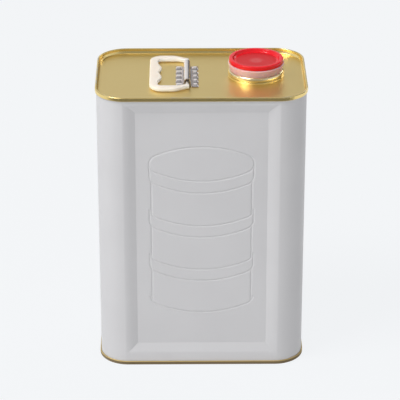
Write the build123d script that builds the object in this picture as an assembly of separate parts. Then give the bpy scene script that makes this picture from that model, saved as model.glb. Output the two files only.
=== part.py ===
from build123d import *
import math
import os

# Four litre rectangular olive oil tin with a pull-up pouring spout.
# Millimetres. Origin at the middle of the base, +X to the right, +Z up.
# The long pressed panels are the front (-Y) and the back (+Y).

# Tin body
body_width = 168.0
body_depth = 107.4
tin_height = 240.0
corner_radius = 23.3
body_gauge = 0.3
lap_width = 1.2
lap_step = 0.12

# Double seams that join the two ends to the body
end_gauge = 0.3
seam_height = 3.1
seam_play = 0.02
seam_crown_radius = 0.36
body_hook_length = 1.4
end_hook_length = 1.3
compound_space = 0.35
compound_play = 0.02

# Ends
countersink_depth = 4.0
chuck_wall_lean = 0.9
chuck_wall_bend = 0.8
panel_margin = 8.0
bottom_bead_inset = 9.0
bottom_bead_width = 5.0
bottom_bead_height = 1.2
bottom_bead_lean = 0.8
bottom_bead_bend = 0.9

# Pressed panels on the front and the back
panel_half_width = 53.0
panel_bottom = 18.7
panel_top = 226.0
panel_depth = 3.2
bevel_slope = 22.0
side_roll_radius = 19.0
end_roll_radius = 8.0
end_roll_rise = 0.05
tool_overrun = 6.0

# Drum figure pressed into each panel as narrow grooves
drum_centre_height = 181.5
drum_half_width = 42.0
drum_half_fall = 15.0
drum_end_radius = 8.0
drum_waist_half_width = 40.5
drum_rim_drop = 10.6
drum_band_drop = 29.2
drum_rib_drop = 10.2
drum_band_count = 3
groove_half_width = 1.1
groove_depth = 0.5

# Neck drawn and curled in the top end
neck_edge_distance = 39.4
neck_y = 5.2
neck_bore_radius = 20.5
neck_curl_radius = 22.7
neck_height = 5.1
neck_curl_drop = 3.4
neck_curl_bend = 0.7
neck_tuck = 0.85
neck_step_radius = 22.5
neck_step_height = 1.3
neck_step_bend = 0.4
neck_root_radius = 27.0

# Handle clip, a tinplate strap with a raised loop
clip_x = -11.35
clip_y = 0.0
clip_gauge = 0.5
clip_width = 18.3
clip_length = 45.5
loop_width = 5.6
loop_height = 7.0
loop_length = 41.4
clip_root_bend = 1.2
clip_rib_count = 5
clip_rib_gap = 0.3
clip_rib_length = 4.7
clip_rib_height = 1.5

# Carrying handle
handle_reach = 30.25
handle_half_span = 35.65
handle_arm_inner = 29.1
handle_thickness = 3.25
handle_lift = 0.6
handle_slide = 2.5
handle_corner_radius = 10.5
handle_bar_width = 6.5
handle_inner_radius = 4.0
handle_end_outer = 29.75
handle_end_inner = 26.2
handle_shoulder = 10.0
handle_inner_shoulder = 7.0
handle_shoulder_radius = 7.0
handle_end_bend = 2.0
handle_edge_round = 0.6
peg_radius = 1.2
peg_length = 14.0
peg_end_reach = 1.7
grip_bump_reach = 3.4
grip_bump_offset = 9.8
grip_notch_reach = 0.6
grip_bump_radius = 5.0
grip_root_offset = 20.5

# Pouring spout: collar, folding cone and nozzle
collar_plug_radius = 20.35
collar_plug_bore = 19.0
collar_plug_depth = 2.6
collar_bead_radius = 21.25
collar_bead_top = 0.75
collar_bead_bottom = 1.6
collar_bead_land = 0.7
collar_foot_radius = 21.4
collar_shoulder_radius = 22.3
collar_flange_radius = 22.6
collar_flange_thickness = 1.2
collar_height = 6.0
collar_wall = 1.3
collar_mouth_radius = 18.2
cone_wall = 0.6
nozzle_bore_radius = 12.1
nozzle_radius = 13.5
nozzle_top = 10.4
nozzle_foot_radius = 15.6
nozzle_foot_thickness = 1.2
nozzle_lip_round = 0.4
spout_travel = 30.0

# Tear-out seal inside the nozzle
seal_play = 0.05
seal_height = 2.0
seal_thickness = 0.7
seal_ring_radius = 7.0
seal_ring_wire = 1.0
seal_ring_height = 4.3
seal_post_radius = 1.1

# Screw cap and its wad
wad_radius = 13.9
wad_thickness = 1.0
cap_radius = 22.0
cap_top = 14.8
cap_flange_gap = 0.3
cap_floor_thickness = 0.9
cap_recess_radius = 17.9
cap_recess_top_radius = 19.1
cap_edge_round = 0.9
cap_skirt_bore = 14.2
cap_skirt_radius = 15.7
cap_skirt_bottom = 1.5

# Values worked out from the sizes above
top_panel_z = tin_height - countersink_depth
bottom_panel_z = countersink_depth
neck_x = body_width / 2 - neck_edge_distance
wall_low_z = seam_height
wall_high_z = tin_height - seam_height
quarter_turn = 90.0
half_turn = 180.0
full_turn = 360.0


def offset_strip(points, shift):
    """Move an open polyline sideways by shift, to its left when positive."""
    moved = []
    last = len(points) - 1
    for i, point in enumerate(points):
        here = Vector(*point)
        sides = []
        if i > 0:
            sides.append((here - Vector(*points[i - 1])).normalized())
        if i < last:
            sides.append((Vector(*points[i + 1]) - here).normalized())
        normals = [Vector(-s.Y, s.X) for s in sides]
        if len(normals) == 1:
            moved.append(here + normals[0] * shift)
        else:
            mitre = normals[0] + normals[1]
            scale = 2 * shift / mitre.dot(mitre)
            moved.append(here + mitre * scale)
    return [(m.X, m.Y) for m in moved]


def turn_sides(points):
    """Say for each inner corner whether the polyline turns left (1) or right (-1)."""
    sides = []
    for i in range(1, len(points) - 1):
        before = Vector(*points[i]) - Vector(*points[i - 1])
        after = Vector(*points[i + 1]) - Vector(*points[i])
        cross = before.X * after.Y - before.Y * after.X
        sides.append(1 if cross > 0 else -1)
    return sides


def sheet_section(points, bends, gauge):
    """Face of a bent sheet that follows a centre line, with one bend radius per corner."""
    sides = turn_sides(points)
    left = offset_strip(points, gauge / 2)
    right = offset_strip(points, -gauge / 2)
    left_bends = [b - s * gauge / 2 for b, s in zip(bends, sides)]
    right_bends = [b + s * gauge / 2 for b, s in zip(bends, sides)]
    left_edge = FilletPolyline(*left, radius=left_bends)
    right_edge = FilletPolyline(*right, radius=right_bends)
    start = Line(left[0], right[0])
    end = Line(left[-1], right[-1])
    return make_face(left_edge.edges() + right_edge.edges() + start.edges() + end.edges())


def rim_path():
    """Outline of the body wall, starting in the middle of the front."""
    w = body_width / 2
    d = body_depth / 2
    r = corner_radius
    edges = [Line((0, -d), (w - r, -d))]
    edges.append(RadiusArc((w - r, -d), (w, r - d), -r))
    edges.append(Line((w, r - d), (w, d - r)))
    edges.append(RadiusArc((w, d - r), (w - r, d), -r))
    edges.append(Line((w - r, d), (r - w, d)))
    edges.append(RadiusArc((r - w, d), (-w, d - r), -r))
    edges.append(Line((-w, d - r), (-w, r - d)))
    edges.append(RadiusArc((-w, r - d), (r - w, -d), -r))
    edges.append(Line((r - w, -d), (0, -d)))
    return Wire([e.edge() for e in edges])


def around_tin(section, at_top):
    """Sweep a section (outwards, inwards from the tin's end) round the body outline."""
    z = tin_height if at_top else 0
    travel = (1, 0, 0) if at_top else (-1, 0, 0)
    place = Plane(origin=(0, -body_depth / 2, z), x_dir=(0, -1, 0), z_dir=travel)
    path = rim_path().moved(Location((0, 0, z)))
    return sweep(place * section, path=path)


def turned(section, z=0):
    """Revolve a section drawn as (radius, height) about the neck's axis."""
    place = Plane.XZ * section
    solid = revolve(place, Axis.Z, full_turn)
    return Location((neck_x, neck_y, z)) * solid


def tin_block(inset, z_low, z_high):
    """Prism of the body outline, drawn in by inset."""
    outline = RectangleRounded(
        body_width - 2 * inset, body_depth - 2 * inset, corner_radius - inset
    )
    return Location((0, 0, z_low)) * extrude(outline, z_high - z_low)


# Double seam. Layers are counted outwards from the wall's outer face, heights
# inwards from the end of the tin, and every layer is one sheet and a play wide.

wall_line = -body_gauge / 2
chuck_line = -body_gauge - seam_play - end_gauge / 2
end_hook_line = seam_play + end_gauge / 2
body_hook_line = end_hook_line + end_gauge / 2 + seam_play + body_gauge / 2
cover_line = body_hook_line + body_gauge / 2 + seam_play + end_gauge / 2
crown_line = end_gauge / 2
fold_line = seam_height - end_gauge / 2
body_fold_line = end_gauge + compound_space + body_gauge / 2
body_hook_tip = body_fold_line + body_hook_length
end_hook_tip = fold_line - end_hook_length
tight_bend = end_gauge / 2 + seam_play / 2
body_tight_bend = body_gauge / 2 + seam_play / 2


def bead_points(wall_foot, panel_line):
    """Centre line of the bottom's stiffening bead, from its inner side out to the chuck wall."""
    bead_line = panel_line + bottom_bead_height
    outer = wall_foot - bottom_bead_inset
    inner = outer - bottom_bead_width
    return [
        (inner - 2 * bottom_bead_lean, panel_line),
        (inner, panel_line),
        (inner + bottom_bead_lean, bead_line),
        (outer - bottom_bead_lean, bead_line),
        (outer, panel_line),
    ]


def end_ring(at_top):
    """Rim of an end: flat panel edge, chuck wall, crown, cover and end hook."""
    panel_line = countersink_depth + end_gauge / 2
    foot = chuck_line - chuck_wall_lean
    points = [
        (foot, panel_line),
        (chuck_line, seam_height - chuck_wall_lean),
        (chuck_line, crown_line),
        (cover_line, crown_line),
        (cover_line, fold_line),
        (end_hook_line, fold_line),
        (end_hook_line, end_hook_tip),
    ]
    bends = [
        chuck_wall_bend,
        chuck_wall_bend,
        seam_crown_radius,
        seam_crown_radius,
        tight_bend,
        tight_bend,
    ]
    if at_top:
        points = [(foot - panel_margin, panel_line)] + points
    else:
        points = bead_points(foot, panel_line) + points
        bends = 4 * [bottom_bead_bend] + bends
    return around_tin(sheet_section(points, bends, end_gauge), at_top)


def body_hook(at_top):
    """Flange of the body wall, folded down inside the seam."""
    points = [
        (wall_line, seam_height),
        (wall_line, body_fold_line),
        (body_hook_line, body_fold_line),
        (body_hook_line, body_hook_tip),
    ]
    bends = [body_tight_bend, body_tight_bend]
    return around_tin(sheet_section(points, bends, body_gauge), at_top)


def seam_compound(at_top):
    """Sealing compound that fills the space over the body hook."""
    low = end_gauge + compound_play
    high = end_gauge + compound_space - compound_play
    inner = chuck_line + end_gauge / 2 + compound_play
    outer = cover_line - end_gauge / 2 - compound_play
    corner = seam_crown_radius - end_gauge / 2
    outline = Polyline(
        (inner, high),
        (inner, low + corner),
        (inner + corner, low),
        (outer - corner, low),
        (outer, low + corner),
        (outer, high),
        close=True,
    )
    return around_tin(make_face(outline.edges()), at_top)


# Pressed panel


def bevel_outline(crease, roll_radius, rise):
    """Points of one bevel: crease, end of slope, and crest of the roll, as (place, depth)."""
    slope = math.radians(bevel_slope)
    roll_fall = roll_radius * (1 - math.cos(slope))
    run = (panel_depth + rise - roll_fall) / math.tan(slope)
    slope_end = (crease + run, roll_fall - rise)
    crest = (crease + run + roll_radius * math.sin(slope), -rise)
    return slope_end, crest


def panel_tool(setback):
    """Space that the pressed panel takes out of the front of the tin."""
    face = setback - body_depth / 2
    floor = face + panel_depth
    front = face - tool_overrun

    slope_end, crest = bevel_outline(panel_half_width, side_roll_radius, 0)
    half = [
        Line((0, floor), (panel_half_width, floor)),
        Line((panel_half_width, floor), (slope_end[0], face + slope_end[1])),
        RadiusArc((slope_end[0], face + slope_end[1]), (crest[0], face + crest[1]), -side_roll_radius),
        Line((crest[0], face + crest[1]), (crest[0], front)),
        Line((crest[0], front), (0, front)),
    ]
    half_edges = [e.edge() for e in half]
    other = [e.mirror(Plane.YZ) for e in half_edges]
    plan = make_face(half_edges + other)
    across = Location((0, 0, -tool_overrun)) * extrude(plan, tin_height + 2 * tool_overrun)

    middle = (panel_top + panel_bottom) / 2
    slope_end, crest = bevel_outline((panel_top - panel_bottom) / 2, end_roll_radius, end_roll_rise)
    half = [
        Line((floor, 0), (floor, (panel_top - panel_bottom) / 2)),
        Line((floor, (panel_top - panel_bottom) / 2), (face + slope_end[1], slope_end[0])),
        RadiusArc((face + slope_end[1], slope_end[0]), (face + crest[1], crest[0]), end_roll_radius),
        Line((face + crest[1], crest[0]), (front, crest[0])),
        Line((front, crest[0]), (front, 0)),
    ]
    half_edges = [e.edge() for e in half]
    other = [e.mirror(Plane.XZ) for e in half_edges]
    side = make_face(half_edges + other)
    upright = Plane(origin=(-body_width / 2, 0, middle), x_dir=(0, 1, 0), z_dir=(1, 0, 0))
    along = extrude(upright * side, body_width)
    return across & along


def groove_section(floor):
    """V of a groove as a face across its line, reaching out past the panel floor."""
    reach = groove_half_width * 2
    out = floor - groove_depth
    return reach, out, floor + groove_depth


def arc_groove(centre_x, centre_z, radius, start, sweep_angle, floor):
    """Groove along an arc, its angles counted from +X towards +Z."""
    reach, out, bottom = groove_section(floor)
    section = make_face(
        Polyline(
            (radius - reach, out, 0), (radius + reach, out, 0), (radius, bottom, 0), close=True
        ).edges()
    )
    turned_arc = revolve(section, Axis.Y, sweep_angle)
    return Location((centre_x, 0, centre_z), (0, -start - sweep_angle, 0)) * turned_arc


def straight_groove(x, z_low, z_high, floor):
    """Upright groove between two heights."""
    reach, out, bottom = groove_section(floor)
    section = make_face(
        Polyline((x - reach, out, z_low), (x + reach, out, z_low), (x, bottom, z_low), close=True).edges()
    )
    return extrude(section, z_high - z_low, dir=(0, 0, 1))


def oval_radii():
    """Large radius and half angle of the flat arcs of an oval with the drum's width and fall."""
    a = drum_half_width
    b = drum_half_fall
    small = drum_end_radius
    large = ((a - small) ** 2 + b**2 - small**2) / (2 * (b - small))
    half_angle = math.degrees(math.asin((a - small) / (large - small)))
    return large, half_angle


def half_oval(centre_z, lower, floor):
    """Three grooves along the lower or the upper half of the drum's oval."""
    large, half_angle = oval_radii()
    end_angle = quarter_turn - half_angle
    side = -1 if lower else 1
    middle_z = centre_z - side * (large - drum_half_fall)
    start = (half_turn + quarter_turn if lower else quarter_turn) - half_angle
    grooves = [arc_groove(0, middle_z, large, start, 2 * half_angle, floor)]
    x = drum_half_width - drum_end_radius
    right_start = -end_angle if lower else 0
    left_start = half_turn if lower else half_turn - end_angle
    grooves.append(arc_groove(x, centre_z, drum_end_radius, right_start, end_angle, floor))
    grooves.append(arc_groove(-x, centre_z, drum_end_radius, left_start, end_angle, floor))
    return grooves


def drum_figure(setback):
    """All the grooves of the drum figure on the front panel."""
    floor = setback - body_depth / 2 + panel_depth
    grooves = half_oval(drum_centre_height, False, floor)
    grooves += half_oval(drum_centre_height, True, floor)
    height = drum_centre_height
    waist_reach = drum_waist_half_width - drum_half_width + drum_end_radius
    waist_fall = math.sqrt(drum_end_radius**2 - waist_reach**2)
    for band in range(drum_band_count):
        rim = drum_rim_drop if band == 0 else drum_rib_drop
        for side in (-1, 1):
            grooves.append(straight_groove(side * drum_half_width, height - rim, height, floor))
        height = height - rim
        grooves += half_oval(height, True, floor)
        for side in (-1, 1):
            x = side * drum_waist_half_width
            top = height - waist_fall
            grooves.append(straight_groove(x, top - drum_band_drop, top, floor))
        height = height - drum_band_drop
        grooves += half_oval(height, True, floor)
    return grooves


def pressed_block(inset, z_low, z_high):
    """Body prism with both panels and both drum figures pressed in."""
    block = tin_block(inset, z_low, z_high)
    tool = panel_tool(inset)
    figure = drum_figure(inset)
    backwards = Rotation(0, 0, half_turn)
    block = block - tool - backwards * tool
    block = block - figure
    return block - [backwards * g for g in figure]


def body_wrapper():
    """Wall of the tin with its pressed panels, side lap and seam flanges."""
    wall = pressed_block(0, wall_low_z, wall_high_z)
    wall = wall - pressed_block(body_gauge, wall_low_z, wall_high_z)
    lap = Box(lap_step, lap_width, wall_high_z - wall_low_z)
    lap = Location((body_width / 2 + lap_step / 2, 0, tin_height / 2)) * lap
    return wall + lap + body_hook(True) + body_hook(False)


# Ends


def panel_inset():
    """Distance from the body outline to the foot of an end's chuck wall."""
    return chuck_wall_lean - chuck_line


def neck():
    """Neck of the top end: low step, upright bore and outward curl."""
    g = end_gauge / 2
    bore = neck_bore_radius + g
    step = neck_step_radius
    curl = neck_curl_radius - g
    points = [
        (neck_root_radius, -g),
        (step, -g),
        (step, neck_step_height - g),
        (bore, neck_step_height - g),
        (bore, neck_height - g),
        (curl, neck_height - g),
        (curl, neck_height - neck_curl_drop),
        (curl - neck_tuck, neck_height - neck_curl_drop),
    ]
    bends = [
        neck_step_bend,
        neck_step_bend,
        neck_step_bend,
        neck_curl_bend,
        neck_curl_bend,
        neck_step_bend,
    ]
    return turned(sheet_section(points, bends, end_gauge), top_panel_z)


def top_end():
    """Top end with its seamed rim, flat panel and spout neck."""
    plate = tin_block(panel_inset() + panel_margin, top_panel_z - end_gauge, top_panel_z)
    hole = Cylinder(neck_root_radius, tool_overrun)
    plate = plate - Location((neck_x, neck_y, top_panel_z)) * hole
    return end_ring(True) + plate + neck()


def bottom_end():
    """Bottom end with its seamed rim and a raised stiffening bead."""
    inset = panel_inset() + bottom_bead_inset + bottom_bead_width + 2 * bottom_bead_lean
    plate = tin_block(inset, bottom_panel_z, bottom_panel_z + end_gauge)
    return end_ring(False) + plate


# Handle clip and handle


def handle_clip():
    """Strap with a loop for the handle's pegs and ribs for its spot welds."""
    g = clip_gauge / 2
    half = loop_width / 2 - g
    arch = loop_height - half - g
    foot = clip_width / 2
    points = [(-foot, g), (-half, g), (-half, arch + half), (half, arch + half), (half, g), (foot, g)]
    bends = [clip_root_bend, half - seam_play, half - seam_play, clip_root_bend]
    section = sheet_section(points, bends, clip_gauge)
    place = Plane(origin=(clip_x, clip_y + loop_length / 2, top_panel_z), x_dir=(1, 0, 0), z_dir=(0, -1, 0))
    strap = extrude(place * section, loop_length)

    foot_width = foot - loop_width / 2 - clip_root_bend
    foot_x = foot - foot_width / 2
    for side in (-1, 1):
        foot_plate = Box(foot_width, clip_length, clip_gauge)
        strap += Location((clip_x + side * foot_x, clip_y, top_panel_z + g)) * foot_plate
    rib_pitch = clip_length / clip_rib_count
    for side in (-1, 1):
        for i in range(clip_rib_count):
            y = clip_y + (i - (clip_rib_count - 1) / 2) * rib_pitch
            here = Location((clip_x + side * foot_x, y, top_panel_z))
            strap += here * clip_rib(rib_pitch - clip_rib_gap, clip_gauge)
            strap -= here * clip_rib(rib_pitch - clip_rib_gap, 0)
    return strap


def vault(width, length):
    """Bar with a circular top that spans width across Y and is as high as a clip rib."""
    sink = ((width / 2) ** 2 - clip_rib_height**2) / (2 * clip_rib_height)
    bar = Cylinder(sink + clip_rib_height, length, rotation=(0, quarter_turn, 0))
    return Location((0, 0, -sink)) * bar


def clip_rib(width, lift):
    """Pillow-shaped rib across a foot of the clip, its base lift above the lid."""
    pillow = vault(width, clip_rib_length)
    pillow = pillow & (Rotation(0, 0, quarter_turn) * vault(clip_rib_length, width))
    block = Box(clip_rib_length, width, clip_rib_height * 2)
    return Location((0, 0, lift)) * (pillow & (Location((0, 0, clip_rib_height)) * block))


def mirrored(half):
    """Points of a half outline, from the far end through the middle to the near end."""
    return [(x, -y) for x, y in half] + [(x, y) for x, y in reversed(half) if y > 0]


def handle_outline():
    """Flat C of the handle, out from the hinge line and along it."""
    bar = handle_reach - handle_bar_width
    outer = [
        (-peg_end_reach, handle_end_outer),
        (0, handle_end_outer),
        (handle_shoulder, handle_half_span),
        (handle_reach, handle_half_span),
    ]
    inner = [
        (-peg_end_reach, handle_end_inner),
        (0, handle_end_inner),
        (handle_inner_shoulder, handle_arm_inner),
        (bar, handle_arm_inner),
        (bar, grip_root_offset),
        (bar - grip_bump_reach, grip_bump_offset),
        (bar - grip_notch_reach, 0),
    ]
    outer_bends = [handle_end_bend, handle_shoulder_radius, handle_corner_radius]
    inner_bends = [
        handle_end_bend,
        handle_shoulder_radius,
        handle_inner_radius,
        handle_inner_radius,
        grip_bump_radius,
    ]
    outside = FilletPolyline(*mirrored(outer), radius=outer_bends + outer_bends[::-1])
    inside = FilletPolyline(*mirrored(inner), radius=inner_bends + [grip_bump_radius] + inner_bends[::-1])
    tips = [Line(outside @ 0, inside @ 0), Line(outside @ 1, inside @ 1)]
    return make_face(outside.edges() + inside.edges() + [tip.edge() for tip in tips])


def carry_handle():
    """C-shaped plastic handle with a peg on each arm, slid towards the back in its loop."""
    plate = extrude(handle_outline(), handle_thickness / 2, both=True)
    levels = plate.edges().group_by(Axis.Z)
    plate = fillet(levels[0] + levels[-1], handle_edge_round)
    for side in (-1, 1):
        peg = Cylinder(peg_radius, peg_length, rotation=(quarter_turn, 0, 0))
        y = side * (handle_end_inner - peg_length / 2 + handle_edge_round)
        plate += Location((0, y, 0)) * peg
    hinge_z = top_panel_z + handle_lift + handle_thickness / 2
    return Location((clip_x, clip_y + handle_slide, hinge_z), (0, 0, half_turn)) * plate


# Pouring spout, heights counted from the lid's panel

collar_top = neck_height + collar_height
collar_web = collar_top - collar_flange_thickness

# The cone turns inside out as the nozzle rises, so its foot hangs half the travel down.
foot_top = collar_web - spout_travel / 2
foot_bottom = foot_top - nozzle_foot_thickness


def spout_collar():
    """Polythene collar that plugs into the neck and stands on its curl."""
    inner_foot = collar_foot_radius - collar_wall
    inner_shoulder = collar_shoulder_radius - collar_wall
    points = [
        (collar_plug_bore, -collar_plug_depth),
        (collar_plug_radius, -collar_plug_depth),
        (collar_plug_radius, -collar_bead_bottom),
        (collar_bead_radius, collar_bead_top - 2 * collar_bead_land),
        (collar_bead_radius, collar_bead_top - collar_bead_land / 2),
        (collar_plug_radius, collar_bead_top),
        (collar_plug_radius, neck_height),
        (collar_foot_radius, neck_height),
        (collar_shoulder_radius, collar_web),
        (collar_flange_radius, collar_web),
        (collar_flange_radius, collar_top),
        (collar_mouth_radius, collar_top),
        (collar_mouth_radius, collar_web),
        (inner_shoulder, collar_web),
        (inner_foot, neck_height + collar_wall),
        (collar_plug_bore, neck_height),
    ]
    return turned(make_face(Polyline(*points, close=True).edges()), top_panel_z)


def spout_cone():
    """Thin flexible cone, folded down inside the collar."""
    foot = nozzle_foot_radius
    points = [
        (foot - cone_wall, foot_top),
        (foot, foot_top),
        (collar_mouth_radius + cone_wall, collar_web),
        (collar_mouth_radius, collar_web),
    ]
    return turned(make_face(Polyline(*points, close=True).edges()), top_panel_z)


def spout_nozzle():
    """Stiff pouring nozzle with its foot flange and rounded lip."""
    round_off = nozzle_lip_round
    points = [
        (nozzle_bore_radius, foot_bottom),
        (nozzle_foot_radius, foot_bottom),
        (nozzle_foot_radius, foot_top),
        (nozzle_radius, foot_top),
        (nozzle_radius, nozzle_top - round_off),
        (nozzle_radius - round_off, nozzle_top),
        (nozzle_bore_radius + round_off, nozzle_top),
        (nozzle_bore_radius, nozzle_top - round_off),
    ]
    return turned(make_face(Polyline(*points, close=True).edges()), top_panel_z)


def nozzle_seal():
    """Tear-out seal: a thin disc, its post and its pull ring."""
    low = seal_height
    disc = Cylinder(nozzle_bore_radius - seal_play, seal_thickness)
    disc = Location((0, 0, low + seal_thickness / 2)) * disc
    ring = Torus(seal_ring_radius, seal_ring_wire)
    ring_z = low + seal_ring_height
    post_top = ring_z - seal_ring_wire / 2
    post = Cylinder(seal_post_radius, post_top - low)
    post = Location((-seal_ring_radius, 0, (low + post_top) / 2)) * post
    solid = disc + post + Location((0, 0, ring_z)) * ring
    return Location((neck_x, neck_y, top_panel_z)) * solid


def cap_wad():
    """Soft disc that seals the cap on the nozzle's lip."""
    wad = Cylinder(wad_radius, wad_thickness)
    return Location((neck_x, neck_y, top_panel_z + nozzle_top + wad_thickness / 2)) * wad


def screw_cap():
    """Cap: sunk middle, rolled rim over the collar and a skirt for the thread."""
    under = nozzle_top + wad_thickness
    floor = under + cap_floor_thickness
    rim_bottom = collar_top + cap_flange_gap
    round_off = cap_edge_round
    points = [
        (0, under),
        (cap_skirt_bore, under),
        (cap_skirt_bore, cap_skirt_bottom),
        (cap_skirt_radius, cap_skirt_bottom),
        (cap_skirt_radius, under),
        (cap_recess_radius, under),
        (cap_recess_top_radius, rim_bottom),
        (cap_radius, rim_bottom),
        (cap_radius, cap_top - round_off),
        (cap_radius - round_off, cap_top),
        (cap_recess_top_radius + round_off, cap_top),
        (cap_recess_top_radius, cap_top - round_off),
        (cap_recess_radius, floor),
        (0, floor),
    ]
    return turned(make_face(Polyline(*points, close=True).edges()), top_panel_z)


pieces = {
    "body_wrapper": body_wrapper(),
    "top_end": top_end(),
    "bottom_end": bottom_end(),
    "top_seam_compound": seam_compound(True),
    "bottom_seam_compound": seam_compound(False),
    "handle_clip": handle_clip(),
    "carry_handle": carry_handle(),
    "spout_collar": spout_collar(),
    "spout_cone": spout_cone(),
    "spout_nozzle": spout_nozzle(),
    "nozzle_seal": nozzle_seal(),
    "cap_wad": cap_wad(),
    "screw_cap": screw_cap(),
}

os.makedirs("parts", exist_ok=True)
for name, piece in pieces.items():
    export_step(piece, f"parts/{name}.step")
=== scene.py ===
import math

import bpy
from mathutils import Matrix, Vector


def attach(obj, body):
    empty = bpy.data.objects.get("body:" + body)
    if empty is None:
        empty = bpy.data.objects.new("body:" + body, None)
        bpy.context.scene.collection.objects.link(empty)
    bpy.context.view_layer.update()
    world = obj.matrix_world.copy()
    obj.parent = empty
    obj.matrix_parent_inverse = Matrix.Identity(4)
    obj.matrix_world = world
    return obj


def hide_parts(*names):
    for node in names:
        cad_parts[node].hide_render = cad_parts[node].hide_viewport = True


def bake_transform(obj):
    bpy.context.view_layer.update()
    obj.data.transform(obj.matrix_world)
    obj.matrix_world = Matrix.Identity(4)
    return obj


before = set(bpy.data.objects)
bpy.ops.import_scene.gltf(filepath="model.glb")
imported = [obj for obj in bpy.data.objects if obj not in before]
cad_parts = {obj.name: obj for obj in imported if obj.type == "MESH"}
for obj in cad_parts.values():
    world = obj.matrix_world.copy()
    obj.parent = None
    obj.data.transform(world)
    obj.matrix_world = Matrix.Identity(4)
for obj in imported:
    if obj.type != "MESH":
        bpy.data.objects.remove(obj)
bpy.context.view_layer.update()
mm = 0.001

# The white tabletop of the studio. It is the same pale grey-white as the air
# behind the tin, and keeps only a faint trace of the tin's shadow.
table_size = 9.0
table_white = (0.898, 0.915, 0.933, 1)
table_bounce = (0.9, 0.9, 0.9, 1)
shadow_share = 0.06


def add_node(tree, kind, sockets=(), **options):
    """Add a shader node, set its options, then set or link each (socket, value) pair."""
    node = tree.nodes.new(kind)
    for option, value in options.items():
        setattr(node, option, value)
    for socket, value in sockets:
        if isinstance(value, bpy.types.NodeSocket):
            tree.links.new(value, node.inputs[socket])
        else:
            node.inputs[socket].default_value = value
    return node


def new_material(name):
    """An empty node material and the surface socket of its output."""
    material = bpy.data.materials.new(name)
    material.use_nodes = True
    material.node_tree.nodes.clear()
    output = material.node_tree.nodes.new("ShaderNodeOutputMaterial")
    return material, material.node_tree, output.inputs["Surface"]


def clear_selection():
    """Leave edit mode and deselect every object."""
    if bpy.context.object and bpy.context.object.mode != "OBJECT":
        bpy.ops.object.mode_set(mode="OBJECT")
    bpy.ops.object.select_all(action="DESELECT")


clear_selection()
bpy.ops.mesh.primitive_plane_add(size=table_size)
table = bpy.context.object
table.name = "studio_table"
material, tree, surface = new_material("studio table")
matte = add_node(tree, "ShaderNodeBsdfDiffuse", [("Color", table_bounce)])
paper = add_node(tree, "ShaderNodeEmission", [("Color", table_white), ("Strength", 1.0)])
shadow = add_node(
    tree,
    "ShaderNodeMixShader",
    [(0, shadow_share), (1, paper.outputs[0]), (2, matte.outputs[0])],
)
rays = add_node(tree, "ShaderNodeLightPath")
seen = add_node(
    tree,
    "ShaderNodeMath",
    [(0, rays.outputs["Is Camera Ray"]), (1, rays.outputs["Is Glossy Ray"])],
    operation="MAXIMUM",
)
seen = add_node(
    tree,
    "ShaderNodeMath",
    [(0, seen.outputs[0]), (1, rays.outputs["Is Transmission Ray"])],
    operation="MAXIMUM",
)
both = add_node(
    tree, "ShaderNodeMixShader", [(0, seen.outputs[0]), (1, matte.outputs[0]), (2, shadow.outputs[0])]
)
tree.links.new(both.outputs[0], surface)
table.data.materials.append(material)

# The body wrapper is one sheet of tinplate, enamelled white, rolled into a tube,
# welded up its right side and pressed with a panel and a drum figure front and back.
panel_half_width = 53.0 * mm
panel_bottom = 18.7 * mm
panel_top = 226.0 * mm
panel_crown = 1.3 * mm
panel_rule = 4.0 * mm
pressed_edge_round = 0.45 * mm
pressed_edge_angle = math.radians(20)
pressing_smooth_angle = math.radians(30)
merge_distance = 0.002 * mm
enamel_white = (0.566, 0.559, 0.568, 1)
enamel_shade = (0.535, 0.529, 0.538, 1)


def copy_from_frame(node, name):
    """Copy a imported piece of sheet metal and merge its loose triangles, left in edit mode."""
    clear_selection()
    piece = bpy.data.objects.new(name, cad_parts[node].data.copy())
    bpy.context.collection.objects.link(piece)
    bpy.context.view_layer.objects.active = piece
    piece.select_set(True)
    bpy.ops.mesh.customdata_custom_splitnormals_clear()
    bpy.ops.object.mode_set(mode="EDIT")
    bpy.ops.mesh.select_mode(type="VERT")
    bpy.ops.mesh.select_all(action="SELECT")
    bpy.ops.mesh.remove_doubles(threshold=merge_distance)
    return piece


def select_faces(piece, wanted):
    """Select only the faces that wanted says yes to, from their centre and normal."""
    bpy.ops.mesh.select_mode(type="FACE")
    bpy.ops.mesh.select_all(action="DESELECT")
    bpy.ops.object.mode_set(mode="OBJECT")
    for face in piece.data.polygons:
        face.select = wanted(face.center, face.normal)
    bpy.ops.object.mode_set(mode="EDIT")


def on_panel_floor(centre, normal):
    """Say whether a face lies in the sunk floor of a pressed panel."""
    inside = abs(centre.x) < panel_half_width and panel_bottom < centre.z < panel_top
    return inside and abs(normal.y) > 0.5


def steps_between(low, high, step):
    """Even places between two limits, about one step apart."""
    count = round((high - low) / step)
    return [low + (high - low) * i / count for i in range(1, count)]


def panel_rise(x, z):
    """How far the springy floor of a panel stands out at one place."""
    across = x / panel_half_width
    along = (2 * z - panel_top - panel_bottom) / (panel_top - panel_bottom)
    if abs(across) >= 1 or abs(along) >= 1:
        return 0
    return panel_crown * (1 - across**2) * (1 - along**4)


def round_edges(piece, width, segments, angle):
    """Round the edges of a piece that are sharper than an angle."""
    bevel = piece.modifiers.new("rounded edges", "BEVEL")
    bevel.width = width
    bevel.segments = segments
    bevel.limit_method = "ANGLE"
    bevel.angle_limit = angle
    bpy.ops.object.modifier_apply(modifier=bevel.name)


def smooth_faces(piece, angle):
    """Shade a piece smooth, keeping its flat faces flat and its sharp edges sharp."""
    bpy.ops.object.shade_smooth_by_angle(angle=angle)
    weights = piece.modifiers.new("flat faces", "WEIGHTED_NORMAL")
    weights.keep_sharp = True
    bpy.ops.object.modifier_apply(modifier=weights.name)


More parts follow.
